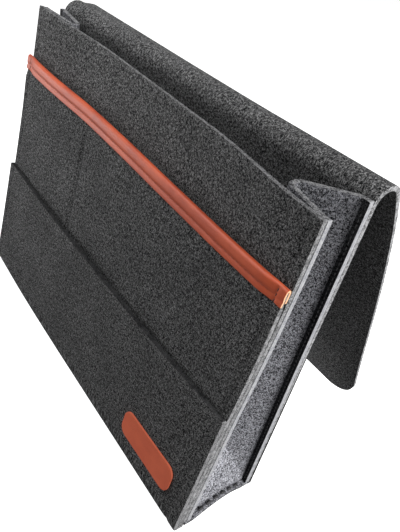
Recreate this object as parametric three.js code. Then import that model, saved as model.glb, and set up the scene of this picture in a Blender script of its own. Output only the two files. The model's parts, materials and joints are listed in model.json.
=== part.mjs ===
// Felt bedside caddy with side gussets, two front pockets and a tuck-in flap.
// Millimetres and degrees. +X is to the right seen from the front, +Y towards the bed, +Z up.
import * as THREE from 'three';

// Cloth, leather and thread
const feltThickness = 3.5;
const bindingLeather = 1.2;
const labelLeather = 1.5;
const threadRadius = 0.4;
const clearance = 0.3;

// Body
const bodyWidth = 330;
const baseDepth = 66;
const frontHeight = 244.5;
const frontLean = 1.3;
const frontSag = 6;
const mouthBow = 8.5;
const mouthBowHeight = 124.5;
const mouthBowPower = 1.6;
const mouthBowInset = 40;
const mouthBowEase = 70;
const backLean = 5.9;
const seamAllowance = 6;

// Top fold and flap
const foldInnerRadius = 8;
const foldStartDrop = 4;
const flapHang = 20.8;
const flapLength = 234;
const flapCornerRadius = 28;

// Base fold and the swing that its end leaves room for
const baseFoldRadius = 6.5;
const swingRoom = 9.8;
const baseArchRise = 4.5;
const baseArchLength = 45;
const baseArchInset = 15;
const baseArchMargin = 8;

// Gussets
const gussetEase = 2;
const gussetNoseWidth = 9;
const gussetLip = 3;
const gussetTriangleHeight = 40;
const gussetTopInset = 0.5;
const gussetTopRise = 8;
const gussetNoseShift = 9.5;
const creaseRounding = 2.9;
const creaseSteps = 3;

// Pockets: slack is how far a mouth stands open, and it grows with height by the given power
const dividerFromLeft = 110;
const midPocketDrop = 42;
const midPocketSlack = 6;
const midSlackPower = 1.5;
const lowerPocketTop = 99;
const lowerPocketSlack = 8;
const lowerSlackPower = 1.2;

// Leather binding and label
const bindingHeight = 14;
const bindingTuck = 11;
const bindingRampLength = 40;
const bindingStitchHeight = 7;
const labelWidth = 60;
const labelHeight = 22.5;
const labelCornerRadius = 7;
const labelSideMargin = 15.6;
const labelFootMargin = 9.4;

// Seam threads
const threadEndMargin = 4;
const dividerThreadStart = 31;

const halfWidth = bodyWidth / 2;
const seamX = halfWidth - seamAllowance;
const threadLift = clearance + threadRadius;
const dividerX = dividerFromLeft - halfWidth;
const midPocketTop = frontHeight - midPocketDrop;
const lean = THREE.MathUtils.degToRad(frontLean);
const tilt = THREE.MathUtils.degToRad(backLean);
const hang = THREE.MathUtils.degToRad(flapHang);

// The front turns about the centre of the base fold
const pocketWall = baseFoldRadius + feltThickness;
const pivotZ = pocketWall;

// Depth of each front layer, measured outwards from the pivot, square to the leaning front
const midOuter = baseFoldRadius - clearance;
const midInner = midOuter - feltThickness;
const panelOuter = midInner - clearance;
const panelInner = panelOuter - feltThickness;
const pivotY = panelInner / Math.cos(lean) - baseDepth;

// Heights at the top, set by the front
const gussetFrontTop = pivotZ + frontHeight * Math.cos(lean) - gussetTopInset;
const gussetBackTop = gussetFrontTop + gussetTopRise;
const backHeight = gussetBackTop / Math.cos(tilt) - foldStartDrop;

const felt = new THREE.MeshStandardMaterial({ color: 0x3a3a3c, roughness: 0.95, metalness: 0 });
const gussetFelt = new THREE.MeshStandardMaterial({ color: 0x55565c, roughness: 0.95, metalness: 0 });
const leather = new THREE.MeshStandardMaterial({ color: 0xa65138, roughness: 0.5, metalness: 0 });
const thread = new THREE.MeshStandardMaterial({ color: 0x202022, roughness: 0.8, metalness: 0 });

const smooth = (value, from, to) => THREE.MathUtils.smoothstep(value, from, to);

// Evenly spaced values from one end to the other
function stations(from, to, count) {
  return Array.from({ length: count + 1 }, (_, index) => from + ((to - from) * index) / count);
}

function meshOf(name, geometry, material) {
  const mesh = new THREE.Mesh(geometry, material);
  mesh.name = name;
  return mesh;
}

// Six times the signed volume of an indexed mesh: negative when its faces point inwards
function signedVolume(points, faces) {
  let sum = 0;
  for (let k = 0; k < faces.length; k += 3) {
    const [a, b, c] = [points[faces[k]], points[faces[k + 1]], points[faces[k + 2]]];
    sum += a.dot(new THREE.Vector3().crossVectors(b, c));
  }
  return sum;
}

function geometryOf(points, faces) {
  const outward = signedVolume(points, faces) > 0;
  const index = outward ? faces : faces.slice().reverse();
  const geometry = new THREE.BufferGeometry().setFromPoints(points);
  geometry.setIndex(index);
  geometry.computeVertexNormals();
  return geometry;
}

// Closed solid between two facing grids of points, with walls along all four edges
function solidBetween(upper, lower) {
  const rows = upper.length;
  const columns = upper[0].length;
  const points = [...upper.flat(), ...lower.flat()];
  const below = rows * columns;
  const faces = [];
  const quad = (a, b, c, d) => faces.push(a, b, c, a, c, d);
  for (let r = 0; r + 1 < rows; r += 1) {
    for (let c = 0; c + 1 < columns; c += 1) {
      const a = r * columns + c;
      const d = a + columns;
      quad(a, a + 1, d + 1, d);
      quad(below + a, below + d, below + d + 1, below + a + 1);
    }
  }
  const rim = [];
  for (let c = 0; c + 1 < columns; c += 1) rim.push(c);
  for (let r = 0; r + 1 < rows; r += 1) rim.push(r * columns + columns - 1);
  for (let c = columns - 1; c > 0; c -= 1) rim.push((rows - 1) * columns + c);
  for (let r = rows - 1; r > 0; r -= 1) rim.push(r * columns);
  rim.forEach((a, k) => {
    const b = rim[(k + 1) % rim.length];
    quad(a, below + a, below + b, b);
  });
  return geometryOf(points, faces);
}

// Sheet of even thickness about a grid of points on its middle surface
function sheet(grid, thickness) {
  const rows = grid.length;
  const columns = grid[0].length;
  const offset = (side) => grid.map((row, r) => row.map((point, c) => {
    const across = row[Math.min(c + 1, columns - 1)].clone().sub(row[Math.max(c - 1, 0)]);
    const along = grid[Math.min(r + 1, rows - 1)][c].clone().sub(grid[Math.max(r - 1, 0)][c]);
    const normal = across.cross(along).normalize();
    return point.clone().addScaledVector(normal, (side * thickness) / 2);
  }));
  return solidBetween(offset(1), offset(-1));
}

// Profile drawn in the side view, as y and z, carried across the width
function profileAcross(shape, width) {
  const geometry = new THREE.ExtrudeGeometry(shape, { depth: width, bevelEnabled: false, curveSegments: 14 });
  const sideView = new THREE.Matrix4().makeBasis(
    new THREE.Vector3(0, 1, 0),
    new THREE.Vector3(0, 0, 1),
    new THREE.Vector3(1, 0, 0),
  );
  return geometry.applyMatrix4(sideView).translate(-width / 2, 0, 0);
}

function rectangle(left, bottom, right, top) {
  return new THREE.Shape([
    new THREE.Vector2(left, bottom),
    new THREE.Vector2(right, bottom),
    new THREE.Vector2(right, top),
    new THREE.Vector2(left, top),
  ]);
}

// Seam thread along a path that lies in one plane; across is square to that plane
function threadAlong(path, across) {
  const sides = 6;
  const rings = path.map((point, k) => {
    const ahead = path[Math.min(k + 1, path.length - 1)];
    const behind = path[Math.max(k - 1, 0)];
    const along = ahead.clone().sub(behind).normalize();
    const up = along.cross(across).normalize();
    return Array.from({ length: sides }, (_, side) => {
      const angle = (2 * Math.PI * side) / sides;
      return point.clone()
        .addScaledVector(across, threadRadius * Math.cos(angle))
        .addScaledVector(up, threadRadius * Math.sin(angle));
    });
  });
  const faces = [];
  for (let k = 0; k + 1 < rings.length; k += 1) {
    for (let side = 0; side < sides; side += 1) {
      const a = k * sides + side;
      const b = k * sides + ((side + 1) % sides);
      faces.push(a, b, b + sides, a, b + sides, a + sides);
    }
  }
  const last = (rings.length - 1) * sides;
  for (let side = 1; side + 1 < sides; side += 1) {
    faces.push(0, side + 1, side);
    faces.push(last, last + side, last + side + 1);
  }
  return geometryOf(rings.flat(), faces);
}

// Back panel, top fold and flap: one strip of felt folded over at the top, in a group that leans
function backPanel() {
  const profile = rectangle(0, 0, feltThickness, backHeight - clearance / 2);
  return meshOf('back_panel', profileAcross(profile, bodyWidth), felt);
}

const foldOuterRadius = foldInnerRadius + feltThickness;
const foldCentre = new THREE.Vector3(0, foldOuterRadius, backHeight);

function topFold() {
  const trim = clearance / 2 / foldInnerRadius;
  const backEnd = Math.PI - trim;
  const flapEnd = hang + trim;
  const profile = new THREE.Shape();
  profile.absarc(foldCentre.y, foldCentre.z, foldOuterRadius, backEnd, flapEnd, true);
  profile.absarc(foldCentre.y, foldCentre.z, foldInnerRadius, flapEnd, backEnd, false);
  return meshOf('top_fold', profileAcross(profile, bodyWidth), felt);
}

function flap() {
  const start = clearance / 2;
  const end = flapLength;
  const r = flapCornerRadius;
  const outline = new THREE.Shape();
  outline.moveTo(-halfWidth, start);
  outline.lineTo(halfWidth, start);
  outline.absarc(halfWidth - r, end - r, r, 0, Math.PI / 2, false);
  outline.absarc(r - halfWidth, end - r, r, Math.PI / 2, Math.PI, false);
  const geometry = new THREE.ExtrudeGeometry(outline, {
    depth: feltThickness,
    bevelEnabled: false,
    curveSegments: 8,
  });
  geometry.rotateX(-Math.PI / 2).translate(0, foldInnerRadius, 0);
  const hanging = new THREE.Group();
  hanging.position.copy(foldCentre);
  hanging.rotation.x = hang;
  hanging.add(meshOf('flap', geometry, felt));
  return hanging;
}

// World y of a layer of the leaning back at a height, for a depth behind its front face
function backLayerY(depth, z) {
  return depth / Math.cos(tilt) - z * Math.tan(tilt);
}

// Base panel: flat in the middle, its ends drawn up by the gussets
const baseBackEdge = backLayerY(-clearance, feltThickness);

const archFull = halfWidth - baseArchInset;
const archStart = archFull - baseArchLength;
const archFront = pivotY + baseArchMargin;
const archBack = baseBackEdge - baseArchMargin;

function baseRise(x, y) {
  const t = THREE.MathUtils.clamp((y - archFront) / (archBack - archFront), 0, 1);
  return baseArchRise * smooth(Math.abs(x), archStart, archFull) * 4 * t * (1 - t);
}

function basePanel() {
  const ends = stations(archStart, archFull, 6);
  const xs = [-halfWidth, ...ends.map((x) => -x).reverse(), ...ends, halfWidth];
  const ys = [pivotY, ...stations(archFront, archBack, 10), baseBackEdge];
  const layer = (lift) => ys.map((y) => xs.map((x) => new THREE.Vector3(x, y, baseRise(x, y) + lift)));
  return meshOf('base_panel', solidBetween(layer(feltThickness), layer(0)), felt);
}

// How far the front sags outwards from a straight line at a height: negative, as the gussets draw it in
function frontBow(height) {
  const t = THREE.MathUtils.clamp(height / frontHeight, 0, 1);
  return -4 * frontSag * t * (1 - t);
}

// World y of a front layer at a height, for a depth outwards from the pivot
function frontLayerY(depth, z) {
  const height = (z - pivotZ) / Math.cos(lean);
  return pivotY + Math.tan(lean) * (z - pivotZ) - (depth + frontBow(height)) / Math.cos(lean);
}

// Gussets: one strip on each side, folded inwards, with a flat triangle at its foot
const rearFlangeDepth = -clearance - feltThickness / 2;
const frontFlangeDepth = panelInner - clearance - feltThickness / 2;
const gussetFoot = feltThickness + 1.5 * clearance + (feltThickness / 2) * Math.sin(tilt);

// Height along the rear flange for a height along the front one
function rearLevel(z) {
  return z + (gussetTopRise * (z - gussetFoot)) / (gussetFrontTop - gussetFoot);
}

const flangeYs = (z) => [backLayerY(rearFlangeDepth, rearLevel(z)), frontLayerY(frontFlangeDepth, z)];
const [footRearY, footFrontY] = flangeYs(gussetFoot);
const gussetLeg = (footRearY - footFrontY + gussetEase) / 2;

// Rounds one corner of a path into evenly spaced points
function roundedCorner(before, corner, after) {
  const reach = (end) => {
    const side = end.clone().sub(corner);
    const length = Math.min(creaseRounding, side.length() / 2.05);
    return corner.clone().addScaledVector(side.normalize(), length);
  };
  const curve = new THREE.QuadraticBezierCurve(reach(before), corner, reach(after));
  return curve.getPoints(creaseSteps);
}

// How far up the foot triangle a height is, from 0 to 1
function triangleShare(z) {
  return THREE.MathUtils.clamp((z - gussetFoot - gussetLip) / gussetTriangleHeight, 0, 1);
}

// Cross-section of the right gusset at a height, as x and y from the rear flange to the front one.
// Its nose lies nearer the front towards the mouth.
function gussetSection(z) {
  const [rearY, frontY] = flangeYs(z);
  const gap = rearY - frontY;
  const shift = gussetNoseShift * smooth(z, gussetFoot + gussetTriangleHeight, gussetFrontTop);
  const middle = (rearY + frontY) / 2 - shift;
  const rise = Math.sin((triangleShare(z) * Math.PI) / 2);
  const inset = rise * Math.sqrt(gussetLeg ** 2 - (gap / 2) ** 2);
  const flat = THREE.MathUtils.lerp(gap - 2 * creaseRounding, gussetNoseWidth, rise);
  const corner = (x, y) => new THREE.Vector2(x, y);
  const rearEdge = corner(halfWidth, rearY);
  const rearCrease = corner(seamX, rearY);
  const rearNose = corner(seamX - inset, middle + flat / 2);
  const frontNose = corner(seamX - inset, middle - flat / 2);
  const frontCrease = corner(seamX, frontY);
  const frontEdge = corner(halfWidth, frontY);
  const rearTurn = roundedCorner(rearCrease, rearNose, frontNose);
  const frontTurn = roundedCorner(rearNose, frontNose, frontCrease);
  const nose = stations(0, 1, 7).slice(1, -1);
  return [
    rearEdge,
    ...roundedCorner(rearEdge, rearCrease, rearNose),
    ...rearTurn,
    ...nose.map((t) => rearTurn[creaseSteps].clone().lerp(frontTurn[0], t)),
    ...frontTurn,
    ...roundedCorner(frontNose, frontCrease, frontEdge),
    frontEdge,
  ];
}

function gusset(name, side) {
  const triangleFoot = gussetFoot + gussetLip;
  const triangleTop = triangleFoot + gussetTriangleHeight;
  const levels = [
    gussetFoot,
    ...stations(triangleFoot, triangleTop, 6),
    ...stations(triangleTop, gussetFrontTop, 9).slice(1),
  ];
  const foot = gussetSection(gussetFoot);
  const grid = levels.map((level) => {
    const [rearY, frontY] = flangeYs(level);
    const footShare = 1 - triangleShare(level);
    return gussetSection(level).map((point, column) => {
      const rearShare = (point.y - frontY) / (rearY - frontY);
      const z = THREE.MathUtils.lerp(level, rearLevel(level), rearShare);
      const lift = baseRise(foot[column].x, foot[column].y) * footShare;
      return new THREE.Vector3(side * point.x, point.y, z + lift);
    });
  });
  return meshOf(name, sheet(grid, feltThickness), gussetFelt);
}

// Front layers, in a group that leans about the base fold: depth is outwards, height along the lean
const frontPoint = (x, depth, height) => new THREE.Vector3(x, -depth - frontBow(height), height);

// Front panel: its mouth relaxes inwards, most in the middle and not at the gussets
const mouthBowEnd = halfWidth - mouthBowInset;
const mouthBowFlat = mouthBowEnd - mouthBowEase;

function panelDepth(x, height) {
  const rise = Math.max(height - frontHeight + mouthBowHeight, 0) / mouthBowHeight;
  const middle = 1 - smooth(Math.abs(x), mouthBowFlat, mouthBowEnd);
  return (panelInner + panelOuter) / 2 - mouthBow * middle * rise ** mouthBowPower;
}

function frontPanel() {
  const ends = stations(mouthBowFlat, mouthBowEnd, 5);
  const xs = [-halfWidth, ...ends.map((x) => -x).reverse(), ...ends, halfWidth];
  const grid = stations(0, frontHeight, 12).map((h) => (
    xs.map((x) => frontPoint(x, panelDepth(x, h), h))
  ));
  return meshOf('front_panel', sheet(grid, feltThickness), felt);
}

// Middle pocket: sewn down at the sides and along the divider, slack between
const bindingRoom = bindingLeather + clearance;
const bindingFoot = midPocketTop - bindingHeight;
const bindingBendRadius = (feltThickness + bindingLeather) / 2 + clearance;
const bindingBendHeight = midPocketTop - bindingBendRadius - bindingLeather / 2;
const midPocketEdge = bindingBendHeight + clearance;
const compartments = [[-seamX, dividerX], [dividerX, seamX]];

function midPocketDepth(x, height) {
  const standOff = bindingRoom * smooth(height, bindingFoot - bindingRampLength, bindingFoot);
  const room = compartments.find(([from, to]) => x > from && x < to);
  const sewn = (midInner + midOuter) / 2 + standOff;
  if (!room) return sewn;
  const t = (2 * x - room[0] - room[1]) / (room[1] - room[0]);
  return sewn + midPocketSlack * (1 - t * t) ** 2 * (height / midPocketTop) ** midSlackPower;
}

const midPocketXs = [
  -halfWidth,
  ...stations(-seamX, dividerX, 8),
  ...stations(dividerX, seamX, 12).slice(1),
  halfWidth,
];

function midPocket() {
  const rampStart = bindingFoot - bindingRampLength;
  const heights = [
    ...stations(0, rampStart, 5),
    ...stations(rampStart, bindingFoot, 4).slice(1),
    midPocketEdge,
  ];
  const grid = heights.map((h) => midPocketXs.map((x) => frontPoint(x, midPocketDepth(x, h), h)));
  return meshOf('mid_pocket', sheet(grid, feltThickness), felt);
}

// Binding: leather folded over the middle pocket's edge
function binding() {
  const leg = feltThickness / 2 + clearance + bindingLeather / 2;
  const outerLeg = stations(bindingFoot, bindingBendHeight, 3).map((h) => [leg, h]);
  const bend = stations(0, Math.PI, 6).slice(1, -1).map((angle) => [
    bindingBendRadius * Math.cos(angle),
    bindingBendHeight + bindingBendRadius * Math.sin(angle),
  ]);
  const innerLeg = stations(bindingBendHeight, midPocketTop - bindingTuck, 2).map((h) => [-leg, h]);
  const grid = [...outerLeg, ...bend, ...innerLeg].map(([offset, h]) => midPocketXs.map((x) => {
    const pocketHeight = Math.min(h, bindingBendHeight);
    return frontPoint(x, midPocketDepth(x, pocketHeight) + offset, h);
  }));
  return meshOf('binding', sheet(grid, bindingLeather), leather);
}

// Lower pocket: outermost layer, turned under at the foot to meet the base panel
function lowerPocketDepth(x, height) {
  const t = Math.min(Math.abs(x) / seamX, 1);
  const rise = Math.max(height, 0) / lowerPocketTop;
  return baseFoldRadius + feltThickness / 2 + lowerPocketSlack * (1 - t ** 4) ** 2 * rise ** lowerSlackPower;
}

function lowerPocket() {
  const foldRadius = baseFoldRadius + feltThickness / 2;
  const foldEnd = Math.PI / 2 + lean - THREE.MathUtils.degToRad(swingRoom);
  const xs = [-halfWidth, ...stations(-seamX, seamX, 16), halfWidth];
  const foldRows = stations(foldEnd, 0, 7).slice(0, -1).map((angle) => xs.map((x) => (
    new THREE.Vector3(x, -foldRadius * Math.cos(angle), -foldRadius * Math.sin(angle))
  )));
  const wallRows = stations(0, lowerPocketTop, 8).map((h) => xs.map((x) => (
    frontPoint(x, lowerPocketDepth(x, h), h)
  )));
  return meshOf('lower_pocket', sheet([...foldRows, ...wallRows], feltThickness), felt);
}

// Label: bare leather patch with round corners, lying on the lower pocket
function label() {
  const lift = feltThickness / 2 + clearance + labelLeather / 2;
  const centreX = halfWidth - labelSideMargin - labelWidth / 2;
  const centreHeight = labelFootMargin + labelHeight / 2;
  const inner = labelHeight / 2 - labelCornerRadius;
  const quarter = stations(0, Math.PI / 2, 5);
  const lowerHalf = quarter.map((angle) => [Math.sin(angle), -inner - labelCornerRadius * Math.cos(angle)]);
  const upperHalf = lowerHalf.map(([reach, h]) => [reach, -h]).reverse();
  const grid = [...lowerHalf, ...upperHalf].map(([reach, h]) => {
    const half = labelWidth / 2 - labelCornerRadius * (1 - reach);
    const height = centreHeight + h;
    return stations(centreX - half, centreX + half, 6)
      .map((x) => frontPoint(x, lowerPocketDepth(x, height) + lift, height));
  });
  return meshOf('label', sheet(grid, labelLeather), leather);
}

// Threads, each laid on the face that its stitches show on
const bindingFaceOffset = feltThickness / 2 + clearance + bindingLeather;

function frontSeamThread(name, side) {
  const x = side * seamX;
  const lowerFace = pocketWall + threadLift;
  const midFace = (h) => midPocketDepth(x, h) + feltThickness / 2 + threadLift;
  const bindingFace = midPocketDepth(x, midPocketTop) + bindingFaceOffset + threadLift;
  const panelFace = panelOuter + threadLift;
  const overLower = lowerPocketTop + threadLift;
  const underBinding = bindingFoot - threadLift;
  const overBinding = midPocketTop + threadLift;
  const route = [
    ...stations(threadEndMargin, overLower, 8).map((h) => [lowerFace, h]),
    ...stations(overLower, underBinding, 8).map((h) => [midFace(h), h]),
    [bindingFace, underBinding],
    [bindingFace, overBinding],
    ...stations(overBinding, frontHeight - threadEndMargin, 3).map((h) => [panelFace, h]),
  ];
  const path = route.map(([depth, h]) => frontPoint(x, depth, h));
  return meshOf(name, threadAlong(path, new THREE.Vector3(1, 0, 0)), thread);
}

function dividerThread() {
  const heights = stations(dividerThreadStart, bindingFoot - threadLift, 12);
  const path = heights.map((h) => (
    frontPoint(dividerX, midPocketDepth(dividerX, h) + feltThickness / 2 + threadLift, h)
  ));
  return meshOf('divider_thread', threadAlong(path, new THREE.Vector3(1, 0, 0)), thread);
}

function bindingThread() {
  const h = bindingFoot + bindingStitchHeight;
  const xs = midPocketXs.slice(1, -1).map((x) => x * (1 - threadEndMargin / seamX));
  const path = xs.map((x) => frontPoint(x, midPocketDepth(x, h) + bindingFaceOffset + threadLift, h));
  return meshOf('binding_thread', threadAlong(path, new THREE.Vector3(0, 0, 1)), thread);
}

function backSeamThread(name, side) {
  const x = (halfWidth + seamX + feltThickness / 2) / 2;
  const y = -clearance - feltThickness - threadLift;
  const ends = [gussetFoot + threadEndMargin, backHeight - threadEndMargin];
  const path = ends.map((z) => new THREE.Vector3(side * x, y, z));
  return meshOf(name, threadAlong(path, new THREE.Vector3(1, 0, 0)), thread);
}

function baseSeamThread(name, side) {
  const x = (halfWidth + seamX + feltThickness / 2) / 2;
  const steepest = (4 * baseArchRise) / (archBack - archFront);
  const lift = feltThickness + threadLift * Math.hypot(1, steepest);
  const ys = stations(archFront + threadEndMargin, archBack - threadEndMargin, 10);
  const path = ys.map((y) => new THREE.Vector3(side * x, y, baseRise(x, y) + lift));
  return meshOf(name, threadAlong(path, new THREE.Vector3(1, 0, 0)), thread);
}

const front = new THREE.Group();
front.position.set(0, pivotY, pivotZ);
front.rotation.x = -lean;
front.add(frontPanel(), midPocket(), lowerPocket(), binding(), label());
front.add(dividerThread(), bindingThread());
front.add(frontSeamThread('front_seam_thread_left', -1), frontSeamThread('front_seam_thread_right', 1));

const back = new THREE.Group();
back.rotation.x = tilt;
back.add(backPanel(), topFold(), flap());
back.add(backSeamThread('back_seam_thread_left', -1), backSeamThread('back_seam_thread_right', 1));

const caddy = new THREE.Group();
caddy.add(back, basePanel(), front);
caddy.add(gusset('gusset_left', -1), gusset('gusset_right', 1));
caddy.add(baseSeamThread('base_seam_thread_left', -1), baseSeamThread('base_seam_thread_right', 1));

// The origin is at the middle of the part's box, on the surface that it stands on
const reach = new THREE.Box3().setFromObject(caddy, true);
caddy.position.y = -(reach.min.y + reach.max.y) / 2;

export default caddy;
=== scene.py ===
"""Looks of the felt bedside caddy: felt sheets, leather binding, bare leather label and stitches.

Sizes are in millimetres, and points are turned into metres where a mesh is made.
"""

from __future__ import annotations

import json
import logging
import math
from collections.abc import Callable, Sequence
from dataclasses import dataclass
from enum import Enum

import bpy
import numpy as np
from mathutils import Matrix, Vector

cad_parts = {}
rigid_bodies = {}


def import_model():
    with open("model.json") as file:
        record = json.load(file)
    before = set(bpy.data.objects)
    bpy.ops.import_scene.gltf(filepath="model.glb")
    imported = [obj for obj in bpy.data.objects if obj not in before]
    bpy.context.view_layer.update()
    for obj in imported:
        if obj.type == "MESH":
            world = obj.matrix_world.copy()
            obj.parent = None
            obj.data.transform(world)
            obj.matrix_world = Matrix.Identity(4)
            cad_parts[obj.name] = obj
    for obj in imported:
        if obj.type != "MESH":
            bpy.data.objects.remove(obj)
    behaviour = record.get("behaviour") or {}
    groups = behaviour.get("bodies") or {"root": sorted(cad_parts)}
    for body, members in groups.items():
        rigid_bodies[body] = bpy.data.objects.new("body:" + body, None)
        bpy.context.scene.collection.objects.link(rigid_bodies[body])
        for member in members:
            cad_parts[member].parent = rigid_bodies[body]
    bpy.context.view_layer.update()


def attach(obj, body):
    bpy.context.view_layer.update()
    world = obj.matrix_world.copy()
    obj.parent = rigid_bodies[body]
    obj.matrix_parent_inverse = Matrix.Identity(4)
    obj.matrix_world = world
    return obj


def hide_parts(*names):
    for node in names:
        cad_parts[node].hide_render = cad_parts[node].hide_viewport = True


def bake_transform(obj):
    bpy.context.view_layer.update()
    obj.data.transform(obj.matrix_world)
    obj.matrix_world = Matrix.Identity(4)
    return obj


LOG = logging.getLogger("caddy")
MM = 0.001
# Attribute that scales a toned felt's colour; on the gussets it carries painted light and painted shade.
TONE_WITH_PAINTED_LIGHT = "tone"
PLY = "ply"
# How far about a seam a sheet's points lie closer, and how close.
SEAM_SPACING = (5.0, 0.8)
FORWARDS = Vector((0.0, -1.0, 0.0))
UPWARDS = Vector((0.0, 0.0, 1.0))

Place = Callable[[float, float], Vector]


class Side(Enum):
    """One end of the caddy, as the sign of its x."""

    LEFT = -1
    RIGHT = 1

    @property
    def word(self) -> str:
        """The side as a part of a piece's name."""
        return self.name.lower()


class Body(Enum):
    """The bodies that the pieces ride on."""

    BACK = "back"
    FLAP = "flap"
    FRONT = "front"


class Slot(Enum):
    """The material slots of the part."""

    FELT = "felt"
    GUSSET_FELT = "gusset_felt"
    LEATHER = "leather"
    THREAD = "thread"


def clamped(value: float) -> float:
    """Hold a value between 0 and 1."""
    return min(max(value, 0.0), 1.0)


def arch(share: float) -> float:
    """Parabola that is 0 at both ends of a span and 1 in its middle."""
    return 4.0 * share * (1.0 - share)


def smoothstep(value: float, low: float, high: float) -> float:
    """Ease from 0 at the low value to 1 at the high one."""
    share = clamped((value - low) / (high - low))
    return share * share * (3.0 - 2.0 * share)


def stations(start: float, end: float, pitch: float) -> list[float]:
    """Space values evenly from start to end, with steps of the pitch at most."""
    count = max(1, math.ceil(abs(end - start) / pitch))
    return [start + (end - start) * index / count for index in range(count + 1)]


def crowded(start: float, end: float, pitch: float, seams: Sequence[float]) -> list[float]:
    """Space values evenly, with more of them about each seam.

    Args:
        start: First value.
        end: Last value.
        pitch: Largest step between two values.
        seams: Values that need a finer spacing about them.

    Returns:
        The values in rising order, with both ends.
    """
    reach, fine = SEAM_SPACING
    values = [v for v in stations(start, end, pitch) if all(abs(v - s) > reach for s in seams)]
    for seam in seams:
        values += [v for v in stations(seam - reach, seam + reach, fine) if start < v < end]
    values += [start, end]
    return sorted(set(values))


def dip(value: float, centre: float, width: float) -> float:
    """Shape of a narrow valley: 1 at its centre, falling to 0 on both sides."""
    return math.exp(-(((value - centre) / width) ** 2))


@dataclass(frozen=True)
class CaddyForm:
    """Sizes that the sheets share, and where their points lie in the row frame."""

    half_width: float = 165.0
    seam_x: float = 159.0
    divider_x: float = -55.0
    felt: float = 3.5
    gap: float = 0.3
    pitch: float = 4.0
    row_shift: float = -11.023
    back_tilt: float = math.radians(5.9)
    fold_along: float = 259.332
    fold_depth: float = 11.5
    fold_radius: float = 9.75
    flap_hang: float = math.radians(20.8)
    flap_length: float = 234.0
    flap_corner: float = 28.0
    pivot_y: float = -78.1233
    pivot_z: float = 10.0
    front_lean: float = math.radians(1.3)
    front_height: float = 244.5
    front_sag: float = 4.8
    left_sag: float = 1.5
    left_draw: float = 14.7
    left_drop: float = 7.5
    foot_tuck: float = 5.5
    foot_flare: float = 4.5
    flare_height: float = 110.0
    flare_start: float = 40.0
    flare_power: float = 1.3
    draw_power: float = 1.3
    drop_power: float = 2.0
    press_start: float = 146.0
    press_full: float = 158.0
    seam_press: float = 0.3
    seam_width: float = 1.7
    flange_seam_x: float = 162.9

    def back(self, x: float, depth: float, along: float) -> Vector:
        """Place a point of the leaning back.

        Args:
            x: Across the caddy.
            depth: Behind the front face of the back sheet.
            along: Up the back sheet.

        Returns:
            The point in the row frame.
        """
        sine = math.sin(self.back_tilt)
        cosine = math.cos(self.back_tilt)
        y = self.row_shift + depth * cosine - along * sine
        return Vector((x, y, depth * sine + along * cosine))

    def front(self, x: float, depth: float, height: float) -> Vector:
        """Place a point of the front, which leans and sags inwards, less at its left end.

        Args:
            x: Across the caddy.
            depth: Outwards from the base fold's centre.
            height: Up the front from that centre.

        Returns:
            The point in the row frame.
        """
        share = clamped(height / self.front_height)
        left = (self.half_width - x) / (2.0 * self.half_width)
        sag = self.front_sag + (self.left_sag - self.front_sag) * left
        out = depth - sag * arch(share)
        sine = math.sin(self.front_lean)
        cosine = math.cos(self.front_lean)
        y = self.pivot_y - out * cosine + height * sine
        return Vector((x, y, self.pivot_z + out * sine + height * cosine))

    def pull(self, x: float, z: float) -> Vector:
        """How far the left end of the back is drawn forwards, as the left gusset is pinched.

        Args:
            x: Across the caddy.
            z: Height over the floor.

        Returns:
            The shift from the straight back.
        """
        share = (self.half_width - x) / (2.0 * self.half_width)
        level = clamped(z / self.back(0.0, 0.0, self.fold_along).z)
        forwards = -self.left_draw * share * level**self.draw_power
        return Vector((0.0, forwards, -self.left_drop * share * level**self.drop_power))

    def splayed(self, point: Vector) -> Vector:
        """Splay the right foot of the front outwards.

        Args:
            point: A point of the straight caddy.

        Returns:
            The point, moved to the right near that foot.
        """
        across = smoothstep(point.x, self.flare_start, self.half_width)
        low = max(1.0 - point.z / self.flare_height, 0.0) ** self.flare_power
        near = 1.0 - smoothstep(point.y, self.pivot_y, self.row_shift)
        return point + Vector((self.foot_flare * across * low * near, 0.0, 0.0))

    def near_end(self, x: float) -> float:
        """How near an end of the caddy is, where the side seams hold the pockets down."""
        return smoothstep(abs(x), self.press_start, self.press_full)

    def loft_at_sides(self, point: Vector) -> float:
        """Share of the felt's thickness left under the side seams."""
        return 1.0 - self.seam_press * dip(abs(point.x), self.seam_x, self.seam_width)

    def columns(self, *seams: float) -> list[float]:
        """Values across a sheet, closer at the side seams and at any other seams."""
        every = (-self.seam_x, *seams, self.seam_x)
        return crowded(-self.half_width, self.half_width, self.pitch, every)


FORM = CaddyForm()


@dataclass(frozen=True)
class SheetSpec:
    """How a flat grid of points becomes a sheet."""

    thickness: float
    rounding: float = 0.7
    smooth_angle: float = 40.0
    round_steps: int = 2
    sharp_angle: float = 55.0


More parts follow.
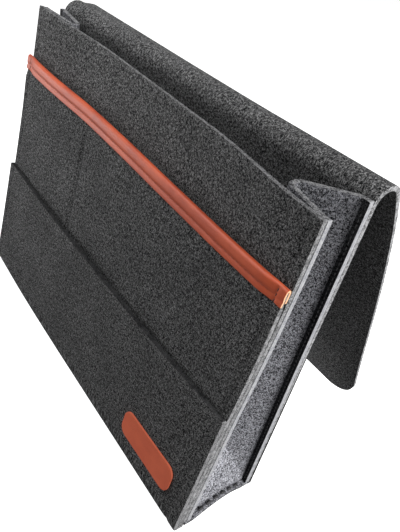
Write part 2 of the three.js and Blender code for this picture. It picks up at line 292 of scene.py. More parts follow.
class SheetMaker:
    """Makes sheets of even thickness from a primitive grid."""

    def grid(
        self,
        name: str,
        columns: Sequence[float],
        rows: Sequence[float],
        place: Place,
    ) -> bpy.types.Object:
        """Lay a grid in its shape, with a map in metres along the cloth.

        Args:
            name: Name of the piece.
            columns: Values across the sheet.
            rows: Values along the sheet.
            place: Gives the point for a column and a row value.

        Returns:
            The piece as a single surface.
        """
        bpy.ops.object.select_all(action="DESELECT")
        wide = len(columns) - 1
        long = len(rows) - 1
        bpy.ops.mesh.primitive_grid_add(x_subdivisions=wide, y_subdivisions=long, size=1.0)
        piece = bpy.context.active_object
        piece.name = name
        mesh = piece.data
        flat = np.zeros(len(mesh.vertices) * 3)
        mesh.vertices.foreach_get("co", flat)
        flat = flat.reshape(-1, 3)
        column_of = np.rint((flat[:, 0] + 0.5) * wide).astype(int)
        row_of = np.rint((flat[:, 1] + 0.5) * long).astype(int)
        points = [FORM.splayed(place(columns[c], rows[r])) * MM for c, r in zip(column_of, row_of)]
        mesh.vertices.foreach_set("co", np.array(points, float).ravel())
        corner = np.zeros(len(mesh.loops), int)
        mesh.loops.foreach_get("vertex_index", corner)
        across = np.array(columns)[column_of[corner]] * MM
        along = np.array(rows)[row_of[corner]] * MM
        mesh.uv_layers[0].data.foreach_set("uv", np.column_stack((across, along)).ravel())
        mesh.update()
        return piece

    def thicken(
        self,
        piece: bpy.types.Object,
        spec: SheetSpec,
        loft: Callable[[Vector], float] | None = None,
    ) -> bpy.types.Object:
        """Give a surface its thickness and soft cut edges.

        Args:
            piece: The surface.
            spec: Thickness and rounding.
            loft: Share of the thickness at a point, where seams press the sheet.

        Returns:
            The finished sheet.
        """
        bpy.context.view_layer.objects.active = piece
        for _ in ("face", "edge"):
            piece.data.materials.append(None)
        solid = piece.modifiers.new("thickness", "SOLIDIFY")
        solid.thickness = spec.thickness * MM
        solid.offset = 0.0
        solid.material_offset_rim = 1
        if loft is not None:
            group = piece.vertex_groups.new(name="loft")
            for vertex in piece.data.vertices:
                group.add([vertex.index], loft(vertex.co / MM), "REPLACE")
            solid.vertex_group = group.name
        skin = len(piece.data.vertices)
        bpy.ops.object.modifier_apply(modifier=solid.name)
        layer = piece.data.attributes.new(PLY, "FLOAT", "POINT")
        for index, item in enumerate(layer.data):
            item.value = 1.0 if index < skin else 0.0
        bevel = piece.modifiers.new("rounding", "BEVEL")
        bevel.width = spec.rounding * MM
        bevel.segments = spec.round_steps
        bevel.limit_method = "ANGLE"
        bevel.angle_limit = math.radians(spec.sharp_angle)
        bpy.ops.object.modifier_apply(modifier=bevel.name)
        piece.select_set(True)
        bpy.ops.object.shade_smooth_by_angle(angle=math.radians(spec.smooth_angle))
        return piece


SHEETS = SheetMaker()


class Signal:
    """A socket in a node tree, with arithmetic that adds Math nodes."""

    def __init__(self, tree: bpy.types.NodeTree, socket: bpy.types.NodeSocket) -> None:
        """Keep the tree and the socket."""
        self.tree = tree
        self.socket = socket

    def math(self, operation: str, first: Signal | float, second: Signal | float) -> Signal:
        """Add a Math node.

        Args:
            operation: The node's operation.
            first: Its first value.
            second: Its second value.

        Returns:
            The node's output.
        """
        node = self.tree.nodes.new("ShaderNodeMath")
        node.operation = operation
        for socket, value in zip(node.inputs, (first, second)):
            feed(socket, value)
        return Signal(self.tree, node.outputs[0])

    def __add__(self, other: Signal | float) -> Signal:
        """Add."""
        return self.math("ADD", self, other)

    def __radd__(self, other: float) -> Signal:
        """Add to a number."""
        return self.math("ADD", other, self)

    def __sub__(self, other: Signal | float) -> Signal:
        """Subtract."""
        return self.math("SUBTRACT", self, other)

    def __rsub__(self, other: float) -> Signal:
        """Subtract from a number."""
        return self.math("SUBTRACT", other, self)

    def __mul__(self, other: Signal | float) -> Signal:
        """Multiply."""
        return self.math("MULTIPLY", self, other)

    def __rmul__(self, other: float) -> Signal:
        """Multiply a number."""
        return self.math("MULTIPLY", other, self)

    def largest(self, other: Signal | float) -> Signal:
        """Take the larger value."""
        return self.math("MAXIMUM", self, other)


Colour = tuple[float, float, float]
Value = Signal | float | tuple[float, ...]


def feed(socket: bpy.types.NodeSocket, value: Value) -> None:
    """Link a signal to an input, or set the input to a plain value.

    Args:
        socket: The input.
        value: What it gets.
    """
    if isinstance(value, Signal):
        value.tree.links.new(value.socket, socket)
    else:
        socket.default_value = value


class NodeBench:
    """Builds one material's nodes."""

    mix_first: int = 6
    mix_last: int = 7
    mix_result: int = 2

    def __init__(self, name: str) -> None:
        """Start a material with an empty tree.

        Args:
            name: Name of the material.
        """
        self.material = bpy.data.materials.new(name)
        self.material.use_nodes = True
        self.tree = self.material.node_tree
        self.tree.nodes.clear()

    def node(
        self,
        kind: str,
        settings: dict[str, object] | None = None,
        sockets: dict[str | int, Value] | None = None,
    ) -> bpy.types.Node:
        """Add a node.

        Args:
            kind: The node's type name.
            settings: Its settings, set before its sockets.
            sockets: Values or signals for its inputs.

        Returns:
            The node.
        """
        made = self.tree.nodes.new(kind)
        for key, value in (settings or {}).items():
            setattr(made, key, value)
        for key, value in (sockets or {}).items():
            feed(made.inputs[key], value)
        return made

    def out(self, made: bpy.types.Node, name: str | int = 0) -> Signal:
        """Wrap one output of a node."""
        return Signal(self.tree, made.outputs[name])

    def coordinates(self, name: str) -> Signal:
        """Take a texture coordinate."""
        return self.out(self.node("ShaderNodeTexCoord"), name)

    def along(self, where: Signal, axis: str) -> Signal:
        """Take one axis of a vector."""
        return self.out(self.node("ShaderNodeSeparateXYZ", None, {"Vector": where}), axis)

    def attribute(self, name: str) -> Signal:
        """Read a number that the mesh carries."""
        return self.out(self.node("ShaderNodeAttribute", {"attribute_name": name}), "Fac")

    def noise(self, where: Signal, scale: float, detail: float, roughness: float = 0.5) -> Signal:
        """Add fractal noise.

        Args:
            where: Coordinates.
            scale: Cells in a metre.
            detail: Octaves.
            roughness: Weight of the finer octaves.

        Returns:
            The noise, about 0.5.
        """
        made = self.node(
            "ShaderNodeTexNoise",
            {"noise_dimensions": "3D"},
            {"Vector": where, "Scale": scale, "Detail": detail, "Roughness": roughness},
        )
        return self.out(made, "Fac")

    def streaks(self, where: Signal, turn: float, thin: float, length: float) -> Signal:
        """Add noise that is drawn out along one direction.

        Args:
            where: Coordinates in metres.
            turn: Direction in degrees.
            thin: Cells in a metre across the streaks.
            length: Cells in a metre along them.

        Returns:
            The noise, about 0.5.
        """
        turned = self.node(
            "ShaderNodeMapping",
            {"vector_type": "TEXTURE"},
            {
                "Vector": where,
                "Rotation": (0.0, 0.0, math.radians(turn)),
                "Scale": (1.0 / thin, 1.0 / length, 1.0),
            },
        )
        return self.noise(self.out(turned), scale=1.0, detail=2.0)

    def ramp(
        self,
        value: Signal,
        low: float,
        high: float,
        first: float = 0.0,
        last: float = 1.0,
    ) -> Signal:
        """Map a range of values to another, smoothly.

        Args:
            value: What is mapped.
            low: Value that gives first.
            high: Value that gives last.
            first: Result below the range.
            last: Result above the range.

        Returns:
            The mapped value.
        """
        made = self.node(
            "ShaderNodeMapRange",
            {"interpolation_type": "SMOOTHSTEP"},
            {"Value": value, "From Min": low, "From Max": high, "To Min": first, "To Max": last},
        )
        return self.out(made)

    def blend(self, share: Signal, first: Signal | Colour, last: Signal | Colour) -> Signal:
        """Mix two colours.

        Args:
            share: How much of the last colour.
            first: First colour.
            last: Last colour.

        Returns:
            The mixed colour.
        """
        ends = [end if isinstance(end, Signal) else (*end, 1.0) for end in (first, last)]
        made = self.node(
            "ShaderNodeMix",
            {"data_type": "RGBA"},
            {0: share, self.mix_first: ends[0], self.mix_last: ends[1]},
        )
        return self.out(made, self.mix_result)

    def bump(self, height: Signal, strength: float, distance: float) -> Signal:
        """Turn a height into a normal.

        Args:
            height: The height, about 0 to 1.
            strength: Strength of the bump.
            distance: Height of 1, in millimetres.

        Returns:
            The normal.
        """
        made = self.node(
            "ShaderNodeBump",
            None,
            {"Height": height, "Strength": strength, "Distance": distance * MM},
        )
        return self.out(made)

    def finished(self, shader: bpy.types.Node) -> bpy.types.Material:
        """Show a shader as the material."""
        self.node("ShaderNodeOutputMaterial", None, {"Surface": self.out(shader)})
        return self.material

    def surface(self, sockets: dict[str | int, Value]) -> bpy.types.Material:
        """Finish the material with one shader that has these inputs."""
        return self.finished(self.node("ShaderNodeBsdfPrincipled", None, sockets))


@dataclass(frozen=True)
class FeltFinish:
    """Pressed felt, with light fibres among dark ones.

    A streak is a direction in degrees, and cells in a metre across and along it. The ranges of the lit ends
    and of the flap are in metres, and the rest are shares.
    """

    name: str
    dark: Colour
    middle: Colour
    light: Colour
    fibres: float
    toned: bool = False
    grain_share: float = 0.75
    grain_relief: float = 0.7
    strand_relief: float = 0.5
    mottle_relief: float = 0.8
    tone_range: tuple[float, float] = (0.45, 0.6)
    strand_range: tuple[float, float] = (0.56, 0.7)
    streaks: tuple[tuple[float, float, float], ...] = (
        (18.0, 1700.0, 420.0),
        (-47.0, 1800.0, 450.0),
        (79.0, 1650.0, 430.0),
        (-8.0, 1900.0, 480.0),
    )
    cut_grain_share: float = 0.65
    cut_range: tuple[float, float] = (0.36, 0.62)
    # Where the side edges start, which are painted lighter as painted light.
    lit_ends_range: tuple[float, float] = (0.1636, 0.1645)
    cut_low: float = 0.9
    cut_blue: float = 1.02
    # How far the painted shade reaches into the back's cut edge: its blur, its reach from the foot to the
    # fold, and its extra reach on the flap.
    ply_blur: float = 0.08
    ply_back: tuple[float, float] = (0.72, 0.1)
    ply_flap: tuple[float, float] = (0.0, 0.25)
    flap_range: tuple[float, float] = (0.02, 0.06)

    def make(self) -> bpy.types.Material:
        """Make the face of the felt.

        Returns:
            The material.
        """
        bench = NodeBench(self.name)
        cloth = bench.coordinates("UV")
        space = bench.coordinates("Object")
        grain = bench.noise(space, scale=860.0, detail=2.0, roughness=0.8)
        mottle = bench.noise(space, scale=290.0, detail=3.0, roughness=0.6)
        cloud = bench.noise(space, scale=24.0, detail=2.0)
        fibres = bench.streaks(cloth, *self.streaks[0])
        for streak in self.streaks[1:]:
            fibres = fibres.largest(bench.streaks(cloth, *streak))
        strands = bench.ramp(fibres, *self.strand_range)
        mixed = grain * self.grain_share + mottle * (1.0 - self.grain_share)
        tone = bench.ramp(mixed, *self.tone_range)
        colour = bench.blend(tone, self.dark, self.middle)
        colour = bench.blend(strands * (self.fibres * (0.5 + cloud)), colour, self.light)
        # Scale the colour by the tone attribute, which carries painted light and painted shade on the
        # gussets.
        if self.toned:
            scaled = bench.node(
                "ShaderNodeVectorMath",
                {"operation": "SCALE"},
                {0: colour, "Scale": bench.attribute(TONE_WITH_PAINTED_LIGHT)},
            )
            colour = bench.out(scaled)
        height = grain * self.grain_relief + strands * self.strand_relief + mottle * self.mottle_relief
        return bench.surface(
            {
                "Base Color": colour,
                "Roughness": 0.95,
                "Specular IOR Level": 0.05,
                "Normal": bench.bump(height, strength=0.5, distance=0.4),
            }
        )

    def make_edge(self, lit_side: float, dull: float, shaded_plies: bool = False) -> bpy.types.Material:
        """Make the cut edge of the felt, which shows the felt's lighter core, painted lighter still at the
        sides as painted light.

        Args:
            lit_side: Lightness of the lightest fibres' ends at the sides, raised there as painted light.
            dull: Lightness of the lightest fibres' ends elsewhere.
            shaded_plies: Whether the inner plies are painted dark as painted shade, more so at the foot and
                on the flap.

        Returns:
            The material.
        """
        bench = NodeBench(f"{self.name}_edge")
        space = bench.coordinates("Object")
        across = bench.along(space, "X")
        grain = bench.noise(space, scale=1100.0, detail=2.0, roughness=0.7)
        mottle = bench.noise(space, scale=260.0, detail=3.0)
        mixed = grain * self.cut_grain_share + mottle * (1.0 - self.cut_grain_share)
        tone = bench.ramp(mixed, *self.cut_range)
        # The side edges are painted lighter than the top edges: painted light.
        ends = bench.ramp(across.largest(-1.0 * across), *self.lit_ends_range)
        low = tuple(part * self.cut_low for part in self.middle)
        top = bench.blend(tone, self.dark, (dull, dull, dull * self.cut_blue))
        side = bench.blend(tone, low, (lit_side, lit_side, lit_side * self.cut_blue))
        # The inner plies are painted dark: painted shade at the back's cut edge, deeper at the foot and on
        # the flap.
        if shaded_plies:
            run = bench.along(bench.coordinates("UV"), "Y")
            fold = FORM.fold_along * MM
            start, end = self.flap_range
            reach = bench.ramp(run, 0.0, fold, *self.ply_back)
            reach = reach + bench.ramp(run, fold + start, fold + end, *self.ply_flap)
            unshaded_plies = bench.ramp(bench.attribute(PLY) - reach, -self.ply_blur, self.ply_blur)
            side = bench.blend(unshaded_plies, self.dark, side)
        return bench.surface(
            {
                "Base Color": bench.blend(ends, top, side),
                "Roughness": 1.0,
                "Specular IOR Level": 0.05,
                "Normal": bench.bump(grain + mottle, strength=0.6, distance=0.5),
            }
        )


@dataclass(frozen=True)
class LeatherFinish:
    """Smooth dyed leather with a fine grain."""

    name: str
    deep: Colour
    fair: Colour
    raw: Colour
    roughness: float
    shine: float
    patch_share: float = 0.8
    tone_range: tuple[float, float] = (0.36, 0.64)
    uneven: float = 0.12

    def make(self) -> bpy.types.Material:
        """Make the face of the leather.

        Returns:
            The material.
        """
        bench = NodeBench(self.name)
        space = bench.coordinates("Object")
        patches = bench.noise(space, scale=55.0, detail=4.0, roughness=0.6)
        pores = bench.noise(space, scale=1900.0, detail=2.0)
        cells = bench.node(
            "ShaderNodeTexVoronoi", {"feature": "F1"}, {"Vector": space, "Scale": 1100.0}
        )
        pebble = bench.out(cells, "Distance")
        mixed = patches * self.patch_share + pores * (1.0 - self.patch_share)
        colour = bench.blend(bench.ramp(mixed, *self.tone_range), self.deep, self.fair)
        return bench.surface(
            {
                "Base Color": colour,
                "Roughness": self.roughness + self.uneven * patches,
                "Specular IOR Level": self.shine,
                "Normal": bench.bump(pebble * 0.5 + pores * 0.5, strength=0.25, distance=0.25),
            }
        )

    def make_edge(self) -> bpy.types.Material:
        """Make the raw cut edge of the leather.

        Returns:
            The material.
        """
        bench = NodeBench(f"{self.name}_edge")
        space = bench.coordinates("Object")
        grain = bench.noise(space, scale=1400.0, detail=3.0)
        return bench.surface(
            {
                "Base Color": bench.blend(grain, self.fair, self.raw),
                "Roughness": 0.8,
                "Normal": bench.bump(grain, strength=0.4, distance=0.3),
            }
        )


@dataclass(frozen=True)
class ThreadFinish:
    """Matt twisted sewing thread."""

    name: str
    colour: Colour
    paler: float = 1.9

    def make(self) -> bpy.types.Material:
        """Make the thread.

        Returns:
            The material.
        """
        bench = NodeBench(self.name)
        space = bench.coordinates("Object")
        twist = bench.noise(space, scale=2600.0, detail=2.0)
        pale = tuple(part * self.paler for part in self.colour)
        return bench.surface(
            {
                "Base Color": bench.blend(twist, self.colour, pale),
                "Roughness": 0.7,
                "Normal": bench.bump(twist, strength=0.4, distance=0.2),
            }
        )


@dataclass
class Palette:
    """The finishes of the caddy, made once and shared."""

    felt: bpy.types.Material
    felt_edge: bpy.types.Material
    back_edge: bpy.types.Material
    mouth_edge: bpy.types.Material
    gusset: bpy.types.Material
    gusset_edge: bpy.types.Material
    strap: bpy.types.Material
    strap_edge: bpy.types.Material
    patch: bpy.types.Material
    patch_edge: bpy.types.Material
    thread: bpy.types.Material
    strap_thread: bpy.types.Material

    @classmethod
    def make(cls) -> Palette:
        """Make every finish.

        Returns:
            The palette.
        """
        felt = FeltFinish(
            "charcoal_felt",
            dark=(0.006, 0.006, 0.0065),
            middle=(0.066, 0.066, 0.067),
            light=(0.39, 0.39, 0.392),
            fibres=0.58,
        )
        gusset = FeltFinish(
            "grey_felt",
            dark=(0.009, 0.009, 0.011),
            middle=(0.245, 0.248, 0.272),
            light=(0.62, 0.62, 0.66),
            fibres=0.6,
            toned=True,
        )
        strap = LeatherFinish(
            "strap_leather",
            deep=(0.35, 0.047, 0.012),
            fair=(0.46, 0.073, 0.021),
            raw=(0.95, 0.74, 0.45),
            roughness=0.46,
            shine=0.5,
        )
        patch = LeatherFinish(
            "label_leather",
            deep=(0.55, 0.098, 0.042),
            fair=(0.62, 0.12, 0.052),
            raw=(0.55, 0.12, 0.06),
            roughness=0.55,
            shine=0.45,
        )
        return cls(
            felt=felt.make(),
            felt_edge=felt.make_edge(lit_side=0.31, dull=0.2),
            # The back's cut edge gets its inner plies painted dark as painted shade.
            back_edge=felt.make_edge(lit_side=0.4, dull=0.2, shaded_plies=True),
            # The mouth's top edge is painted dark as painted shade where the pocket's mouth opens.
            mouth_edge=felt.make_edge(lit_side=0.27, dull=0.05),
            gusset=gusset.make(),
            gusset_edge=gusset.make_edge(lit_side=0.4, dull=0.24),
            strap=strap.make(),
            strap_edge=strap.make_edge(),
            patch=patch.make(),
            patch_edge=patch.make_edge(),
            thread=ThreadFinish("dark_thread", (0.016, 0.016, 0.017)).make(),
            strap_thread=ThreadFinish("brown_thread", (0.19, 0.036, 0.016)).make(),
        )


def cover(piece: bpy.types.Object, *finishes: bpy.types.Material) -> None:
    """Give a sheet the finishes of its faces, its cut edges and any further place."""
    for index, finish in enumerate(finishes):
        piece.data.materials[index] = finish


@dataclass
class BackSheet:
    """Back, top fold and flap: one strip of felt.

    The bulge factor makes the bulge's curve as high as flap_bulge.
    """

    fold_steps: int = 20
    corner_steps: int = 12
    wave: float = 0.5
    wave_across: float = 31.0
    wave_along: tuple[float, float] = (67.0, 43.0)
    wave_start: float = 0.6
    back_calm: tuple[float, float] = (6.0, 40.0)
    back_wave: float = 0.5
    flap_calm: float = 60.0
    start_depth: float = 11.5
    end_depth: float = 21.25
    ease_length: float = 75.0
    fold_ease: float = 0.65
    ease_depths: tuple[float, float] = (17.0, 24.0)
    back_depth: float = 5.5
    flap_bulge: float = 4.7
    bulge_length: float = 200.0
    bulge_factor: float = 6.75

    def bulge(self, rest: float) -> float:
        """How far the flap stands out from a flat one, at a distance from the fold."""
        share = min(rest / self.bulge_length, 1.0)
        return self.bulge_factor * self.flap_bulge * share * (1.0 - share) ** 2

    def arc_length(self) -> float:
        """Length of the round fold, which ends where the bulge of the flap starts."""
        start_turn = self.bulge_factor * self.flap_bulge / self.bulge_length
        return (math.pi - FORM.flap_hang - start_turn) * FORM.fold_radius

    def ripple(self, x: float, run: float) -> float:
        """How far the felt stands out in its gentle waves.

        Args:
            x: Across the caddy.
            run: Distance along the strip from its foot.

        Returns:
            The distance.
        """
        long, short = self.wave_along
        crossing = math.sin(x / self.wave_across + run / long)
        return self.wave * crossing * math.sin(run / short + self.wave_start)

    def length(self) -> float:
        """Flat length of the strip, in millimetres."""
        return FORM.fold_along + self.arc_length() + FORM.flap_length

    def half_width(self, run: float) -> float:
        """Half the width of the strip, which is less at the round corners of the flap.

        Args:
            run: Distance along the strip from its foot.

        Returns:
            Half the width there.
        """
        corner = FORM.flap_corner
        over = run - (self.length() - corner)
        if over <= 0.0:
            return FORM.half_width
        return FORM.half_width - corner + math.sqrt(max(corner**2 - over**2, 0.0))

    def point(self, across: float, run: float) -> Vector:
        """Place a point of the straight strip's middle surface.

        Args:
            across: Share of the half width, from -1 to 1.
            run: Distance along the strip from its foot.

        Returns:
            The point in the row frame.
        """
        x = across * self.half_width(run)
        arc_length = self.arc_length()
        ripple = self.ripple(x, run)
        if run <= FORM.fold_along:
            calm = smoothstep(FORM.half_width - abs(x), *self.back_calm)
            return FORM.back(x, FORM.felt / 2.0 + ripple * calm * self.back_wave, run)
        past = run - FORM.fold_along
        angle = math.pi - min(past, arc_length) / FORM.fold_radius
        rest = max(past - arc_length, 0.0)
        out = self.bulge(rest) + ripple * smoothstep(rest, 0.0, self.flap_calm)
        sine = math.sin(FORM.flap_hang)
        cosine = math.cos(FORM.flap_hang)
        depth = FORM.fold_depth + FORM.fold_radius * math.cos(angle) + rest * sine + out * cosine
        along = FORM.fold_along + FORM.fold_radius * math.sin(angle) - rest * cosine + out * sine
        return FORM.back(x, depth, along)

    def lean_left(self, piece: bpy.types.Object) -> None:
        """Draw the left end of the back and the fold forwards, the flap easing back to its place.

        Args:
            piece: The finished strip.
        """
        crest = FORM.back(0.0, 0.0, FORM.fold_along).z
        normal = Vector((0.0, math.cos(FORM.back_tilt), math.sin(FORM.back_tilt)))
        along = Vector((0.0, -normal.z, normal.y))
        foot = FORM.back(0.0, 0.0, 0.0)
        for vertex in piece.data.vertices:
            where = vertex.co / MM
            depth = (where - foot).dot(normal)
            if depth < self.back_depth:
                vertex.co += FORM.pull(where.x, where.z) * MM
                continue
            hung = FORM.fold_along - (where - foot).dot(along)
            kept = 1.0 - smoothstep(hung, 0.0, self.ease_length)
            kept *= 1.0 - self.fold_ease * smoothstep(depth, *self.ease_depths)
            vertex.co += FORM.pull(where.x, crest) * (kept * MM)
        piece.data.update()

    def build(self) -> bpy.types.Object:
        """Model the strip.

        Returns:
            The finished strip.
        """
        arc_length = self.arc_length()
        arc_end = FORM.fold_along + arc_length
        corner_start = self.length() - FORM.flap_corner
        quarter = math.pi / 2.0 / self.corner_steps
        turn = [math.sin(quarter * step) for step in range(1, self.corner_steps + 1)]
        rows = stations(0.0, FORM.fold_along, FORM.pitch)
        rows += stations(FORM.fold_along, arc_end, arc_length / self.fold_steps)[1:]
        rows += stations(arc_end, corner_start, FORM.pitch)[1:]
        rows += [corner_start + FORM.flap_corner * share for share in turn]
        columns = stations(-1.0, 1.0, FORM.pitch / FORM.half_width)
        piece = SHEETS.grid("back_sheet", columns, rows, self.point)
        flat_map = np.zeros(len(piece.data.loops) * 2)
        layer = piece.data.uv_layers[0].data
        layer.foreach_get("uv", flat_map)
        flat_map[0::2] *= FORM.half_width
        layer.foreach_set("uv", flat_map)
        SHEETS.thicken(piece, SheetSpec(FORM.felt))
        start = FORM.back(0.0, self.start_depth, FORM.fold_along) * MM
        end = FORM.back(0.0, self.end_depth, FORM.fold_along) * MM
        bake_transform(piece)
        self.lean_left(piece)
        cut = 2.0 * (1.0 - math.pi / 4.0) * FORM.flap_corner**2
        area = (2.0 * FORM.half_width * self.length() - cut) * MM * MM
        flat = (2.0 * FORM.half_width * MM, self.length() * MM)
        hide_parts("back_panel", "top_fold", "flap")
        return piece

    def dress(self, piece: bpy.types.Object, palette: Palette) -> None:
        """Give the strip its felt, with the inner plies of its cut edges painted dark as painted shade."""
        cover(piece, palette.felt, palette.back_edge)


@dataclass
class BasePanel:
    """The felt that the caddy stands on, its ends drawn up by the gussets."""

    back_edge: float = -11.6357
    arch_rise: float = 4.5
    arch_start: float = 105.0
    arch_full: float = 150.0
    arch_margin: float = 8.0
    lip_tone: float = 0.9
    lip_slope: float = 0.3

    def rise(self, x: float, y: float) -> float:
        """How far the panel is drawn up.

        Args:
            x: Across the caddy.
            y: Along the depth.

        Returns:
            The lift.
        """
        front = FORM.pivot_y + self.arch_margin
        back = self.back_edge - self.arch_margin
        share = clamped((y - front) / (back - front))
        return self.arch_rise * smoothstep(abs(x), self.arch_start, self.arch_full) * arch(share)

    def build(self) -> bpy.types.Object:
        """Model the panel.

        Returns:
            The finished panel.
        """
        columns = stations(-FORM.half_width, FORM.half_width, FORM.pitch)
        rows = stations(FORM.pivot_y, self.back_edge, FORM.pitch)
        middle = FORM.felt / 2.0
        piece = SHEETS.grid(
            "base_sheet", columns, rows, lambda x, y: Vector((x, y, middle + self.rise(x, y)))
        )
        SHEETS.thicken(piece, SheetSpec(FORM.felt))
        piece.data.materials.append(None)
        for face in piece.data.polygons:
            if abs(face.center.x) > FORM.seam_x * MM and face.normal.z > self.lip_slope:
                face.material_index = 2
        layer = piece.data.attributes.new(TONE_WITH_PAINTED_LIGHT, "FLOAT", "POINT")
        for item in layer.data:
            item.value = self.lip_tone
        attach(piece, Body.BACK.value)
        2.0 * FORM.half_width * MM
        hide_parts("base_panel")
        return piece

    def dress(self, piece: bpy.types.Object, palette: Palette) -> None:
        """Give the panel its felt, and the gusset's felt on the lips at its ends."""
        cover(piece, palette.felt, palette.felt, palette.gusset)


BASE = BasePanel()


@dataclass
class Gusset:
    """One side of the pouch: a strip folded inwards, with a flat triangle at its foot.

    The swing span is where the strip turns from the back to the front, in metres.
    """

    side: Side
    ease: float = 2.0
    nose_width: float = 6.0
    nose_shift: float = 7.0
    nose_share: float = 0.4
    mouth_gap: float = 29.3
    lip: float = 3.0
    triangle: float = 40.0
    top_rise: float = 8.0
    foot: float = 4.13
    front_top: float = 253.94
    front_depth: float = -3.15
    rear_depth: float = -2.05
    rounding: float = 2.2
    arm_share: float = 2.05
    corner_steps: int = 6
    flange_steps: int = 2
    wall_steps: int = 4
    edge_rounding: float = 0.6
    smooth_angle: float = 50.0
    swing_span: tuple[float, float] = (-0.0425, -0.064)
    # Painted light and shade in the tone: the foot triangle is painted lighter as painted light, and the
    # gusset is painted darker towards its top and on the rear flange's seam strip as painted shade.
    painted_foot_light: float = 1.3
    painted_top_shade: float = 0.35
    painted_shade_start: float = 130.0
    painted_seam_shade: float = 0.13

    def rear_level(self, z: float) -> float:
        """Height along the rear flange for a height along the front one."""
        return z + self.top_rise * (z - self.foot) / (self.front_top - self.foot)

    def flanges(self, z: float) -> tuple[float, float]:
        """Where the two flanges lie at a height.

        Args:
            z: Height along the front flange.

        Returns:
            The y of the rear and of the front flange.
        """
        level = self.rear_level(z)
        tilt = FORM.back_tilt
        rear = FORM.row_shift + self.rear_depth / math.cos(tilt) - level * math.tan(tilt)
        rear += FORM.pull(self.side.value * FORM.half_width, level).y
        height = (z - FORM.pivot_z) / math.cos(FORM.front_lean)
        return rear, FORM.front(self.side.value * FORM.half_width, self.front_depth, height).y

    def leg(self) -> float:
        """Width of the strip from a crease to the middle of its fold."""
        rear, front = self.flanges(self.foot)
        return (rear - front + self.ease) / 2.0

    def share(self, z: float) -> float:
        """How far up the foot triangle a height is."""
        return clamped((z - self.foot - self.lip) / self.triangle)

    def turned(self, before: Vector, corner: Vector, after: Vector) -> list[Vector]:
        """Round one corner of a section.

        Args:
            before: Point before the corner.
            corner: The corner.
            after: Point after the corner.

        Returns:
            Points on the rounded corner.
        """
        ends = []
        for far in (before, after):
            arm = far - corner
            ends.append(corner + arm.normalized() * min(self.rounding, arm.length / self.arm_share))
        points = []
        for step in range(self.corner_steps + 1):
            t = step / self.corner_steps
            points.append(ends[0] * (1 - t) ** 2 + corner * (2 * t * (1 - t)) + ends[1] * t**2)
        return points

    def section(self, z: float) -> list[Vector]:
        """Cross-section at a height, from the rear flange to the front one.

        Args:
            z: Height along the front flange.

        Returns:
            Points as x and y, for the right side.
        """
        rear, front = self.flanges(z)
        gap = rear - front
        shift = self.nose_shift * smoothstep(z, self.foot + self.triangle, self.front_top)
        middle = (rear + front) / 2.0 - shift * gap / self.mouth_gap
        rise = self.share(z)
        inset = rise * math.sqrt(max(self.leg() ** 2 - (gap / 2.0) ** 2, 0.0))
        nose = min(self.nose_width, gap * self.nose_share)
        flat = (gap - 2.0 * self.rounding) * (1.0 - rise) + nose * rise
        edge = FORM.half_width
        crease = FORM.seam_x
        deep = crease - inset
        corners = [
            Vector((edge, rear)),
            Vector((crease, rear)),
            Vector((deep, middle + flat / 2.0)),
            Vector((deep, middle - flat / 2.0)),
            Vector((crease, front)),
            Vector((edge, front)),
        ]
        path = [corners[0]]
        for index in range(1, 5):
            turn = self.turned(*corners[index - 1 : index + 2])
            fill = self.wall_steps if index in (2, 4) else self.flange_steps
            path += [path[-1].lerp(turn[0], step / fill) for step in range(1, fill)]
            path += turn
        path.append(corners[5])
        return path

    def build(self) -> bpy.types.Object:
        """Model the gusset.

        Returns:
            The finished gusset.
        """
        triangle_foot = self.foot + self.lip
        triangle_top = triangle_foot + self.triangle
        levels = [self.foot] + stations(triangle_foot, triangle_top, FORM.pitch)
        levels += stations(triangle_top, self.front_top, FORM.pitch)[1:]
        foot = self.section(self.foot)
        sections = [self.section(level) for level in levels]

        def place(column: float, row: float) -> Vector:
            """Place a point of the strip.

            Args:
                column: Index across the section.
                row: Index of the level.

            Returns:
                The point in the row frame.
            """
            index = round(column)
            level = levels[round(row)]
            point = sections[round(row)][index]
            rear, front = self.flanges(level)
            toward_rear = (point.y - front) / (rear - front)
            z = level + (self.rear_level(level) - level) * toward_rear
            z += BASE.rise(foot[index].x, foot[index].y) * (1.0 - self.share(level))
            z += FORM.pull(self.side.value * FORM.half_width, z).z * toward_rear
            return Vector((self.side.value * point.x, point.y, z))

        name = f"gusset_{self.side.word}"
        columns = [float(index) for index in range(len(foot))]
        rows = [float(index) for index in range(len(levels))]
        piece = SHEETS.grid(f"{name}_sheet", columns, rows, place)
        self.lay_map(piece, sections)
        self.tint(piece, len(foot), levels)
        SHEETS.thicken(piece, SheetSpec(FORM.felt, self.edge_rounding, self.smooth_angle))
        self.declare(piece, name)
        return piece

    def tint(self, piece: bpy.types.Object, count: int, levels: Sequence[float]) -> None:
        """Paint light and shade into the tone: the foot triangle lighter as painted light, and the rear
        flange's seam strip dark and the upper gusset darker as painted shade.

        Args:
            piece: The surface, with its points in rows of columns.
            count: Number of columns.
            levels: Height of each row.
        """
        turn = self.corner_steps + 1
        shaded_strip_end = turn // 2
        nose_start = self.flange_steps + turn + self.wall_steps - 1
        triangle_top = self.foot + self.lip + self.triangle
        layer = piece.data.attributes.new(TONE_WITH_PAINTED_LIGHT, "FLOAT", "POINT")
        for index, item in enumerate(layer.data):
            column = index % count
            level = levels[index // count]
            in_nose = nose_start <= column < count - nose_start + 1
            # The gusset darkens towards its top: painted shade.
            item.value = 1.0 - self.painted_top_shade * smoothstep(level, self.painted_shade_start, self.front_top)
            # The rear flange's seam strip is painted nearly black: painted shade in the valley beside the
            # seam.
            if column <= shaded_strip_end:
                item.value = self.painted_seam_shade
            # The foot triangle is painted lighter: painted light where it faces the key light.
            elif in_nose and level < triangle_top:
                item.value = self.painted_foot_light

